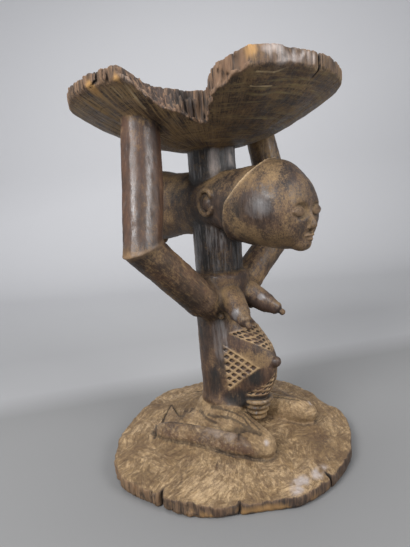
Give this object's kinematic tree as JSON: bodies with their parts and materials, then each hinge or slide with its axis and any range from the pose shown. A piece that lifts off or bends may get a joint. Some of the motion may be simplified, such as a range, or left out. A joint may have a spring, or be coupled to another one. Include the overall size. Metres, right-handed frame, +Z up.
{
  "type": "caryatid stool",
  "caption": "Carved wooden stool: a kneeling figure holds a round dished seat on its column and raised hands, over a round base. The seat has a broken corner.",
  "frame": {"origin": "the column's axis where it meets the ground, in the plane of the base's underside", "axes": "+Z up along the column, -Y the way the figure faces, +X towards the figure's left"},
  "size_m": [0.3059, 0.3076, 0.427],
  "materials": {
    "old_wood": "dark handled patina, worn and dusty, with pale chips and broken edges"
  },
  "bodies": {
    "root": {"caryatid_stool": "old_wood"}
  },
  "joints": []
}
